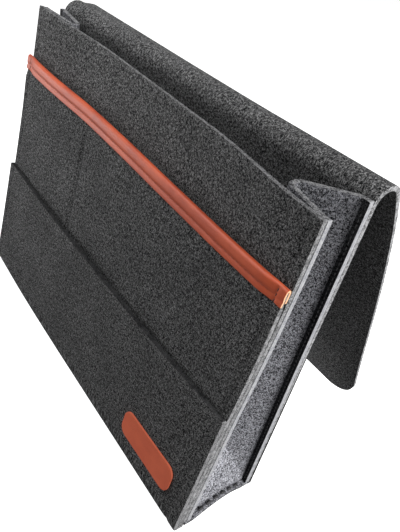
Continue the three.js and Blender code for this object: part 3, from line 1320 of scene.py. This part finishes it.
    def lay_map(self, piece: bpy.types.Object, sections: Sequence[Sequence[Vector]]) -> None:
        """Set the map along each row of the strip, as the columns aren't evenly spaced.

        Args:
            piece: The surface, with its points in rows of columns.
            sections: Points across the strip, row by row.
        """
        across = []
        for section in sections:
            across.append(0.0)
            for before, after in zip(section, section[1:]):
                across.append(across[-1] + (after - before).length * MM)
        mesh = piece.data
        layer = mesh.uv_layers[0].data
        for loop in mesh.loops:
            point = mesh.vertices[loop.vertex_index].co
            layer[loop.index].uv = (across[loop.vertex_index], point.z)

    def declare(self, piece: bpy.types.Object, name: str) -> None:
        """Bake the gusset's placement into its points and hide the node that it stands for.

        Args:
            piece: The finished gusset.
            name: The node that it stands for.
        """
        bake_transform(piece)
        width = 2.0 * (self.leg() + FORM.half_width - FORM.seam_x)
        width * MM
        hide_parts(name)

    def dress(self, piece: bpy.types.Object, palette: Palette) -> None:
        """Give the gusset its lighter felt."""
        cover(piece, palette.gusset, palette.gusset_edge)


GUSSETS = (
    Gusset(Side.LEFT, ease=9.0, nose_shift=1.5, swing_span=(-0.0575, -0.0695)),
    Gusset(Side.RIGHT),
)


@dataclass
class FrontPanel:
    """The tall front layer, its mouth relaxed inwards in the middle."""

    depth: float = 0.65
    mouth_bow: float = 8.5
    bow_start: float = 120.0
    bow_power: float = 1.6
    bow_edge: tuple[float, float] = (62.0, 152.0)
    rounding: float = 0.45

    def bow(self, x: float, height: float) -> float:
        """How far the mouth is relaxed inwards.

        Args:
            x: Across the caddy.
            height: Up the front.

        Returns:
            The distance inwards.
        """
        share = max(height - self.bow_start, 0.0) / (FORM.front_height - self.bow_start)
        plateau = 1.0 - smoothstep(abs(x), *self.bow_edge)
        return self.mouth_bow * plateau * share**self.bow_power

    def point(self, x: float, height: float) -> Vector:
        """Place a point of the middle surface, at a height up the front."""
        return FORM.front(x, self.depth - self.bow(x, height), height)

    def build(self) -> bpy.types.Object:
        """Model the panel.

        Returns:
            The finished panel.
        """
        rows = [-FORM.foot_tuck] + stations(0.0, FORM.front_height, FORM.pitch)
        piece = SHEETS.grid("front_sheet", FORM.columns(), rows, self.point)
        SHEETS.thicken(piece, SheetSpec(FORM.felt, self.rounding), FORM.loft_at_sides)
        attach(piece, Body.FRONT.value)
        2.0 * FORM.half_width * MM
        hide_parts("front_panel")
        return piece

    def dress(self, piece: bpy.types.Object, palette: Palette) -> None:
        """Give the panel its felt."""
        cover(piece, palette.felt, palette.felt_edge)


FRONT = FrontPanel()


@dataclass
class MidPocket:
    """The middle pocket, sewn down at the sides and along the divider."""

    top: float = 202.5
    edge: float = 199.55
    sewn_depth: float = 4.45
    stand_off: float = 1.5
    held_share: float = 0.6
    ramp: tuple[float, float] = (148.5, 188.5)
    slack_left: float = 1.3
    slack_right: float = 1.8
    slack_power: float = 1.5
    follow: float = 0.5
    mouth_rise: float = 2.3
    rise_span: tuple[float, float] = (-10.0, 120.0)
    least_tuck: float = 0.35
    groove: float = 0.9
    groove_left: float = 3.4
    groove_right: float = 2.2
    bound: float = 0.72
    bound_span: tuple[float, float] = (196.0, 202.0)
    least_loft: float = 0.1

    def depth(self, x: float, height: float) -> float:
        """Depth of the middle surface.

        Args:
            x: Across the caddy.
            height: Up the front.

        Returns:
            The depth outwards.
        """
        loose = 1.0 - self.held_share * FORM.near_end(x)
        sewn = self.sewn_depth + self.stand_off * loose * smoothstep(height, *self.ramp)
        sewn -= self.follow * FRONT.bow(x, height)
        if abs(x) >= FORM.seam_x:
            return sewn
        left = x < FORM.divider_x
        low, high = (-FORM.seam_x, FORM.divider_x) if left else (FORM.divider_x, FORM.seam_x)
        slack = self.slack_left if left else self.slack_right
        t = (2.0 * x - low - high) / (high - low)
        return sewn + slack * (1.0 - t * t) ** 2 * (max(height, 0.0) / self.top) ** self.slack_power

    def point(self, x: float, height: float, offset: float = 0.0) -> Vector:
        """Place a point of the middle surface or over it, the mouth rising a little to the left.

        Args:
            x: Across the caddy.
            height: Up the front.
            offset: Outwards from the middle surface.

        Returns:
            The point in the row frame.
        """
        left = 1.0 - smoothstep(x, *self.rise_span)
        rise = self.mouth_rise * left * max(height, 0.0) / self.top
        return FORM.front(x, self.depth(x, min(height, self.edge)) + offset, height + rise)

    def columns(self) -> list[float]:
        """Values across the pocket, closer at the seams."""
        return FORM.columns(FORM.divider_x)

    def loft(self, point: Vector) -> float:
        """Share of the felt's thickness left under the seams and the binding.

        Args:
            point: A point of the middle surface.

        Returns:
            The share.
        """
        wide = self.groove_left if point.x < FORM.divider_x else self.groove_right
        divider = self.groove * dip(point.x, FORM.divider_x, wide)
        bound = self.bound * smoothstep(point.z, *self.bound_span)
        return max(FORM.loft_at_sides(point) - max(divider, bound), self.least_loft)

    def build(self) -> bpy.types.Object:
        """Model the pocket.

        Returns:
            The finished pocket.
        """
        rows = [-FORM.foot_tuck] + stations(0.0, self.edge, FORM.pitch)

        def place(x: float, height: float) -> Vector:
            """Point of one column and height."""
            tuck = max(LOWER.sharpness(x), self.least_tuck)
            return self.point(x, height if height > 0.0 else height * tuck)

        piece = SHEETS.grid("mid_pocket_sheet", self.columns(), rows, place)
        SHEETS.thicken(piece, SheetSpec(FORM.felt), self.loft)
        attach(piece, Body.FRONT.value)
        2.0 * FORM.half_width * MM
        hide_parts("mid_pocket")
        return piece

    def dress(self, piece: bpy.types.Object, palette: Palette) -> None:
        """Give the pocket its felt."""
        cover(piece, palette.felt, palette.felt_edge)


MID = MidPocket()


@dataclass
class LowerPocket:
    """The outermost pocket, turned under at the foot to meet the base."""

    top: float = 97.5
    left_rise: float = 4.0
    right_rise: float = 1.0
    sewn_depth: float = 8.25
    slack: float = 3.6
    slack_power: float = 1.2
    slack_edge: float = 4.0
    fold_end: float = math.radians(81.5)
    round_power: float = 2.0
    sharp_power: float = 14.0
    sharp_x: float = 20.0
    fold_pitch: float = 1.0

    def sharpness(self, x: float) -> float:
        """How sharp the fold at the foot is: round at the left, a tight crease from the middle on."""
        return smoothstep(x, -FORM.half_width, self.sharp_x)

    def mouth(self, x: float) -> float:
        """Height of the mouth, which rises a little to the left."""
        share = 0.5 + 0.5 * x / FORM.half_width
        return self.top + self.left_rise + (self.right_rise - self.left_rise) * share

    def depth(self, x: float, height: float) -> float:
        """Depth of the middle surface.

        Args:
            x: Across the caddy.
            height: Up the front.

        Returns:
            The depth outwards.
        """
        t = min(abs(x) / FORM.seam_x, 1.0)
        rise = max(height, 0.0) / self.top
        loose = (1.0 - t**self.slack_edge) ** 2
        return self.sewn_depth + self.slack * loose * rise**self.slack_power

    def point(self, x: float, run: float) -> Vector:
        """Place a point of the middle surface.

        Args:
            x: Across the caddy.
            run: Distance up the pocket, negative round the fold at its foot.

        Returns:
            The point in the row frame.
        """
        if run >= 0.0:
            return FORM.front(x, self.depth(x, run), run * self.mouth(x) / self.top)
        power = self.round_power + (self.sharp_power - self.round_power) * self.sharpness(x)
        turn = math.acos(math.cos(self.fold_end) ** (power / 2.0))
        angle = -turn * run / (self.fold_end * self.sewn_depth)
        out = self.sewn_depth * math.cos(angle) ** (2.0 / power)
        return FORM.front(x, out, -self.sewn_depth * math.sin(angle) ** (2.0 / power))

    def build(self) -> bpy.types.Object:
        """Model the pocket.

        Returns:
            The finished pocket.
        """
        under = self.fold_end * self.sewn_depth
        rows = stations(-under, 0.0, self.fold_pitch) + stations(0.0, self.top, FORM.pitch)[1:]
        piece = SHEETS.grid("lower_pocket_sheet", FORM.columns(), rows, self.point)
        SHEETS.thicken(piece, SheetSpec(FORM.felt), FORM.loft_at_sides)
        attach(piece, Body.FRONT.value)
        2.0 * FORM.half_width * MM
        (self.mouth(0.0) + under) * MM
        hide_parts("lower_pocket")
        return piece

    def dress(self, piece: bpy.types.Object, palette: Palette) -> None:
        """Give the pocket its felt, with its mouth's top edge painted dark as painted shade."""
        cover(piece, palette.felt, palette.mouth_edge)


LOWER = LowerPocket()


@dataclass
class Binding:
    """Leather strip folded over the middle pocket's edge and stitched through."""

    leather: float = 1.4
    foot: float = 190.2
    bend: float = 199.25
    bend_radius: float = 1.9
    tuck: float = 192.5
    stitch_height: float = 194.1
    pinch: float = 0.6
    pinch_width: float = 1.3
    swell: float = 0.2
    end_pinch: float = 0.7
    end_width: float = 1.1
    least_offset: float = 0.9
    squeezed: float = 0.35
    front_pitch: float = 0.7
    rear_pitch: float = 1.5
    bend_steps: int = 12
    rounding: float = 0.25

    def pressed(self, x: float, offset: float) -> float:
        """Offset of the strip, which is less where a side seam presses it flat."""
        return offset * (1.0 - self.squeezed * FORM.near_end(x))

    def path(self) -> list[tuple[float, float]]:
        """Profile of the strip, from its front foot over the edge to its rear foot.

        Returns:
            Offsets from the pocket's middle surface, and heights.
        """
        points: list[tuple[float, float]] = []
        for height in stations(self.foot, self.bend, self.front_pitch):
            share = (height - self.stitch_height) / (self.bend - self.stitch_height)
            shaped = self.swell * arch(max(share, 0.0))
            shaped -= self.pinch * dip(height, self.stitch_height, self.pinch_width)
            points.append((self.bend_radius + shaped, height))
        for step in range(1, self.bend_steps):
            angle = math.pi * step / self.bend_steps
            rise = self.bend_radius * math.sin(angle)
            points.append((self.bend_radius * math.cos(angle), self.bend + rise))
        rear = stations(self.bend, self.tuck, self.rear_pitch)
        return points + [(-self.bend_radius, height) for height in rear]

    def build(self) -> bpy.types.Object:
        """Model the strip.

        Returns:
            The finished strip.
        """
        path = self.path()
        run = [0.0]
        for (a, b), (c, d) in zip(path, path[1:]):
            run.append(run[-1] + math.hypot(c - a, d - b))
        rows = [float(index) for index in range(len(path))]

        def place(x: float, row: float) -> Vector:
            """Place a point of the strip.

            Args:
                x: Across the caddy.
                row: Index along the profile.

            Returns:
                The point in the row frame.
            """
            offset, height = path[round(row)]
            seam = self.end_pinch * dip(abs(x), FORM.seam_x, self.end_width)
            offset = self.pressed(x, offset)
            offset -= math.copysign(seam, offset) if abs(offset) > self.least_offset else 0.0
            return MID.point(x, height, offset)

        piece = SHEETS.grid("binding_strip", MID.columns(), rows, place)
        SHEETS.thicken(piece, SheetSpec(self.leather, self.rounding))
        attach(piece, Body.FRONT.value)
        2.0 * FORM.half_width * MM
        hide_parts("binding")
        return piece

    def dress(self, piece: bpy.types.Object, palette: Palette) -> None:
        """Give the strip its leather."""
        cover(piece, palette.strap, palette.strap_edge)


BINDING = Binding()


@dataclass
class Label:
    """Bare leather patch with round corners on the lower pocket."""

    width: float = 60.0
    height: float = 22.5
    corner: float = 7.0
    centre_x: float = 117.6
    centre_height: float = 20.65
    leather: float = 1.5
    rounding: float = 0.3
    smooth_angle: float = 30.0
    corner_steps: int = 10
    row_pitch: float = 1.5
    column_pitch: float = 0.05

    def point(self, across: float, up: float) -> Vector:
        """Place a point of the middle surface.

        Args:
            across: Share of the half width, from -1 to 1.
            up: Height over the patch's middle.

        Returns:
            The point in the row frame.
        """
        over = max(abs(up) - (self.height / 2.0 - self.corner), 0.0)
        half = self.width / 2.0 - self.corner + math.sqrt(max(self.corner**2 - over**2, 0.0))
        x = self.centre_x + across * half
        height = self.centre_height + up
        lift = FORM.felt / 2.0 + FORM.gap + self.leather / 2.0
        return FORM.front(x, LOWER.depth(x, height) + lift, height)

    def build(self) -> bpy.types.Object:
        """Model the patch.

        Returns:
            The finished patch.
        """
        inner = self.height / 2.0 - self.corner
        step_angle = math.pi / 2.0 / self.corner_steps
        quarter = [math.cos(step_angle * step) for step in range(self.corner_steps)]
        lower = [-inner - self.corner * share for share in quarter]
        rows = lower + stations(-inner, inner, self.row_pitch) + [-up for up in reversed(lower)]
        columns = stations(-1.0, 1.0, self.column_pitch)
        piece = SHEETS.grid("label_patch", columns, rows, self.point)
        SHEETS.thicken(piece, SheetSpec(self.leather, self.rounding, self.smooth_angle))
        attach(piece, Body.FRONT.value)
        cut = (4.0 - math.pi) * self.corner**2
        area = (self.width * self.height - cut) * MM * MM
        flat = (self.width * MM, self.height * MM)
        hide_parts("label")
        return piece

    def dress(self, piece: bpy.types.Object, palette: Palette) -> None:
        """Give the patch its bare leather."""
        cover(piece, palette.patch, palette.patch_edge)


@dataclass
class StitchRow:
    """One row of stitches along a seam."""

    name: str
    body: Body
    replaced: str
    pitch: float = 3.6
    length: float = 2.5
    radius: float = 0.38
    segments: int = 6
    rings: int = 4

    def template(self) -> tuple[np.ndarray, list[list[int]]]:
        """Shape of one stitch, lying along x with z out of the cloth.

        Returns:
            Its points in millimetres, and its faces.
        """
        bpy.ops.object.select_all(action="DESELECT")
        bpy.ops.mesh.primitive_uv_sphere_add(
            segments=self.segments, ring_count=self.rings, radius=1.0
        )
        ball = bpy.context.active_object
        points = np.array([v.co for v in ball.data.vertices], float)
        points = np.column_stack((points[:, 2], points[:, 0], points[:, 1]))
        faces = [list(face.vertices) for face in ball.data.polygons]
        points *= np.array((self.length / 2.0, self.radius, self.radius))
        bpy.data.objects.remove(ball)
        return points, faces

    def build(self, path: Sequence[Vector], out: Vector) -> bpy.types.Object:
        """Lay stitches along a path.

        Args:
            path: Points on the face of the cloth.
            out: Direction out of the cloth.

        Returns:
            The row as one piece.
        """
        shape, faces = self.template()
        points: list[np.ndarray] = []
        every: list[list[int]] = []
        for centre, along in self.spread([FORM.splayed(point) for point in path]):
            side = out.cross(along).normalized()
            up = along.cross(side)
            turn = np.array((along, side, up))
            first = len(points) * len(shape)
            points.append(shape @ turn + np.array(centre))
            every += [[first + index for index in face] for face in faces]
        mesh = bpy.data.meshes.new(self.name)
        mesh.from_pydata(np.concatenate(points) * MM, [], every)
        mesh.update()
        piece = bpy.data.objects.new(self.name, mesh)
        bpy.context.scene.collection.objects.link(piece)
        bpy.ops.object.select_all(action="DESELECT")
        piece.select_set(True)
        bpy.context.view_layer.objects.active = piece
        bpy.ops.object.mode_set(mode="EDIT")
        bpy.ops.mesh.select_all(action="SELECT")
        bpy.ops.mesh.normals_make_consistent(inside=False)
        bpy.ops.object.mode_set(mode="OBJECT")
        bpy.ops.object.shade_smooth()
        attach(piece, self.body.value)
        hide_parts(self.replaced)
        return piece

    def spread(self, path: Sequence[Vector]) -> list[tuple[Vector, Vector]]:
        """Space stitches along a path.

        Args:
            path: Points on the face of the cloth.

        Returns:
            Centre and direction of each stitch.
        """
        found = []
        travelled = 0.0
        due = self.pitch / 2.0
        for a, b in zip(path, path[1:]):
            step = b - a
            while due <= travelled + step.length:
                found.append((a + step * ((due - travelled) / step.length), step.normalized()))
                due += self.pitch
            travelled += step.length
        return found


@dataclass
class Stitching:
    """All rows of stitches."""

    margin: float = 4.0
    sink: float = 0.1
    step: float = 4.0
    mouth_gap: tuple[float, float] = (2.0, 1.0)
    strap_gap: float = 1.0
    bend_gap: float = 1.5
    divider_start: float = 31.0
    divider_loft: float = 0.13
    back_start: float = 8.0
    base_step: float = 3.0
    base_pitch: float = 7.6
    base_stitch: float = 5.4
    base_radius: float = 1.3
    strap_row: str = "binding_stitches"
    strap_radius: float = 0.26

    def side_row(self, seam: str, side: Side, body: Body, *sizes: float) -> StitchRow:
        """Start one side's row, named for its seam and the node that it stands for."""
        return StitchRow(f"{seam}_{side.word}_stitches", body, f"{seam}_thread_{side.word}", *sizes)

    def front_seam(self, side: Side) -> bpy.types.Object:
        """Stitch one side of the front, over every layer.

        Args:
            side: Which side.

        Returns:
            The row.
        """
        x = side.value * FORM.seam_x
        half = FORM.felt / 2.0 * (1.0 - FORM.seam_press) + self.sink
        flat = BINDING.pressed(x, BINDING.bend_radius)
        strap = flat - BINDING.end_pinch + BINDING.leather / 2.0 + self.sink
        below, above = self.mouth_gap
        mouth = LOWER.mouth(x)
        pocket = stations(self.margin, mouth - below, self.step)
        middle = stations(mouth + above, BINDING.foot - self.strap_gap, self.step)
        over = BINDING.bend + BINDING.bend_radius + self.bend_gap
        top = stations(over, FORM.front_height - self.margin, self.step)
        path = [FORM.front(x, LOWER.sewn_depth + half, height) for height in pocket]
        path += [MID.point(x, height, half) for height in middle]
        bound = (BINDING.foot + self.strap_gap, BINDING.bend)
        path += [MID.point(x, height, strap) for height in bound]
        path += [FORM.front(x, FRONT.depth + half, height) for height in top]
        return self.side_row("front_seam", side, Body.FRONT).build(path, FORWARDS)

    def divider(self) -> bpy.types.Object:
        """Stitch the divider of the middle pocket.

        Returns:
            The row.
        """
        half = FORM.felt / 2.0 * self.divider_loft + self.sink
        heights = stations(self.divider_start, BINDING.foot - self.strap_gap, self.step)
        path = [MID.point(FORM.divider_x, height, half) for height in heights]
        row = StitchRow("divider_stitches", Body.FRONT, "divider_thread")
        return row.build(path, FORWARDS)

    def strap(self) -> bpy.types.Object:
        """Stitch along the binding.

        Returns:
            The row.
        """
        groove = BINDING.bend_radius - BINDING.pinch
        over = BINDING.leather / 2.0 + self.sink
        reach = FORM.seam_x - self.margin
        path = [
            MID.point(x, BINDING.stitch_height, BINDING.pressed(x, groove) + over)
            for x in stations(-reach, reach, self.step)
        ]
        row = StitchRow(self.strap_row, Body.FRONT, "binding_thread", radius=self.strap_radius)
        return row.build(path, FORWARDS)

    def back_seam(self, side: Side) -> bpy.types.Object:
        """Stitch a gusset's rear flange to the back.

        Args:
            side: Which side.

        Returns:
            The row.
        """
        x = side.value * FORM.flange_seam_x
        depth = -FORM.gap - FORM.felt - self.sink
        path = []
        for along in stations(self.back_start, FORM.fold_along - self.margin, self.step):
            point = FORM.back(x, depth, along)
            path.append(point + Vector((0.0, FORM.pull(x, point.z).y, 0.0)))
        return self.side_row("back_seam", side, Body.BACK).build(path, FORWARDS)

    def base_seam(self, side: Side) -> bpy.types.Object:
        """Stitch a gusset's foot to the base.

        Args:
            side: Which side.

        Returns:
            The row.
        """
        x = side.value * FORM.flange_seam_x
        low = FORM.pivot_y + BASE.arch_margin + self.margin
        high = BASE.back_edge - BASE.arch_margin - self.margin
        path = [
            Vector((x, y, FORM.felt + BASE.rise(x, y) + self.sink))
            for y in stations(low, high, self.base_step)
        ]
        sizes = (self.base_pitch, self.base_stitch, self.base_radius)
        return self.side_row("base_seam", side, Body.BACK, *sizes).build(path, UPWARDS)

    def build(self) -> list[bpy.types.Object]:
        """Stitch every seam.

        Returns:
            The rows.
        """
        rows = [self.divider(), self.strap()]
        for side in Side:
            rows += [self.front_seam(side), self.back_seam(side), self.base_seam(side)]
        return rows

    def dress(self, row: bpy.types.Object, palette: Palette) -> None:
        """Give a row its thread, which is brown on the binding."""
        on_strap = row.name == self.strap_row
        row.data.materials.append(palette.strap_thread if on_strap else palette.thread)


@dataclass(frozen=True)
class Viewpoint:
    """The camera, as found from the corners of the front in the photo."""

    position: tuple[float, float, float] = (296.157, -289.862, 362.722)
    right: tuple[float, float, float] = (0.57697421, 0.76784575, 0.27841275)
    down: tuple[float, float, float] = (0.5818606, -0.14720199, -0.79985612)
    forward: tuple[float, float, float] = (-0.57318322, 0.62349376, -0.53171094)
    lens: float = 37.74
    sensor: float = 36.0
    nearest: float = 0.01

    def build(self) -> None:
        """Add the camera."""
        data = bpy.data.cameras.new("photo_camera")
        data.lens = self.lens
        data.sensor_width = self.sensor
        data.clip_start = self.nearest
        camera = bpy.data.objects.new("photo_camera", data)
        bpy.context.scene.collection.objects.link(camera)
        turn = Matrix((self.right, -Vector(self.down), -Vector(self.forward))).transposed().to_4x4()
        camera.matrix_world = Matrix.Translation(Vector(self.position) * MM) @ turn
        bpy.context.scene.camera = camera


@dataclass(frozen=True)
class SoftLight:
    """One square studio light, in metres and watts."""

    name: str
    place: tuple[float, float, float]
    target: tuple[float, float, float]
    size: float
    power: float

    def build(self) -> bpy.types.Object:
        """Add the light.

        Returns:
            The light.
        """
        data = bpy.data.lights.new(self.name, "AREA")
        data.size = self.size
        data.energy = self.power
        light = bpy.data.objects.new(self.name, data)
        bpy.context.scene.collection.objects.link(light)
        light.location = self.place
        light.visible_camera = False
        aim = Vector(self.target) - Vector(self.place)
        light.rotation_euler = aim.to_track_quat("-Z", "Y").to_euler()
        return light


@dataclass(frozen=True)
class Studio:
    """White backdrop, pale floor and soft lights."""

    ambient: float = 0.12
    mirrored: float = 0.9
    shown_grey: tuple[float, float] = (0.78, 0.8)
    dull_grey: tuple[float, float] = (0.23, 0.25)
    floor_size: float = 14.0
    floor_drop: float = 0.0004
    middle: tuple[float, float, float] = (0.0, 0.0, 0.12)
    under: tuple[float, float, float] = (0.05, 0.06, 0.15)

    def backdrop(self) -> None:
        """White where the camera sees it, softer where it lights the caddy."""
        world = bpy.data.worlds.new("white_studio")
        bpy.context.scene.world = world
        world.use_nodes = True
        tree = world.node_tree
        tree.nodes.clear()
        rays = tree.nodes.new("ShaderNodeLightPath")
        seen = Signal(tree, rays.outputs["Is Camera Ray"])
        glossy = Signal(tree, rays.outputs["Is Glossy Ray"])
        direct = seen.largest(glossy * self.mirrored)
        strength = direct * (1.0 - self.ambient) + self.ambient
        background = tree.nodes.new("ShaderNodeBackground")
        background.inputs["Color"].default_value = (1.0, 1.0, 1.0, 1.0)
        tree.links.new(strength.socket, background.inputs["Strength"])
        output = tree.nodes.new("ShaderNodeOutputWorld")
        tree.links.new(background.outputs[0], output.inputs[0])

    def floor_finish(self) -> bpy.types.Material:
        """Make the floor: white with a soft shadow to the camera, duller where it lights the caddy.

        Returns:
            The material.
        """
        bench = NodeBench("pale_floor")
        tone = bench.noise(bench.coordinates("Object"), scale=0.3, detail=1.0)
        pale, dim = ([(grey,) * 3 for grey in greys] for greys in (self.shown_grey, self.dull_grey))
        shown = bench.node(
            "ShaderNodeBsdfPrincipled",
            None,
            {
                "Base Color": bench.blend(tone, *pale),
                "Roughness": 1.0,
                "Specular IOR Level": 0.0,
                "Emission Color": (1.0, 1.0, 1.0, 1.0),
                "Emission Strength": 0.9,
            },
        )
        dull = bench.node("ShaderNodeBsdfDiffuse", None, {"Color": bench.blend(tone, *dim)})
        rays = bench.node("ShaderNodeLightPath")
        mixed = bench.node(
            "ShaderNodeMixShader",
            None,
            {"Fac": bench.out(rays, "Is Camera Ray"), 1: bench.out(dull), 2: bench.out(shown)},
        )
        return bench.finished(mixed)

    def floor(self) -> None:
        """Add the floor."""
        bpy.ops.object.select_all(action="DESELECT")
        bpy.ops.mesh.primitive_plane_add(size=self.floor_size, location=(0.0, 0.0, -self.floor_drop))
        floor = bpy.context.active_object
        floor.name = "studio_floor"
        floor.data.materials.append(self.floor_finish())

    def build(self) -> None:
        """Set up the studio."""
        self.backdrop()
        self.floor()
        lights = (
            SoftLight("key_right", (1.9, 0.25, 1.4), self.middle, size=0.9, power=68.0),
            SoftLight("low_right", (1.1, 0.02, 0.12), self.middle, size=0.3, power=2.6),
            SoftLight("fill_left", (-0.5, -0.42, 0.06), self.middle, size=0.4, power=2.7),
            SoftLight("top_front", (-0.15, -0.32, 0.62), self.middle, size=0.35, power=2.2),
            SoftLight("under_flap", (0.05, 0.045, 0.006), self.under, size=0.14, power=0.14),
        )
        for light in lights:
            light.build()


def clear_scene() -> None:
    """Remove what the scene starts with."""
    bpy.ops.object.select_all(action="SELECT")
    bpy.ops.object.delete()


def main() -> None:
    """Model and dress every piece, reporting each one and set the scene."""
    logging.basicConfig(level=logging.INFO, format="%(name)s: %(message)s")
    clear_scene()
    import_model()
    palette = Palette.make()
    for sheet in (BackSheet(), BASE, FRONT, MID, LOWER, *GUSSETS, BINDING, Label()):
        piece = sheet.build()
        sheet.dress(piece, palette)
        LOG.info("sheet: %s", piece.name)
    stitching = Stitching()
    for row in stitching.build():
        stitching.dress(row, palette)
        LOG.info("stitches: %s", row.name)
    Studio().build()
    Viewpoint().build()
    bpy.context.scene.view_settings.view_transform = "Standard"
    bpy.context.view_layer.update()


if __name__ == "__main__":
    main()
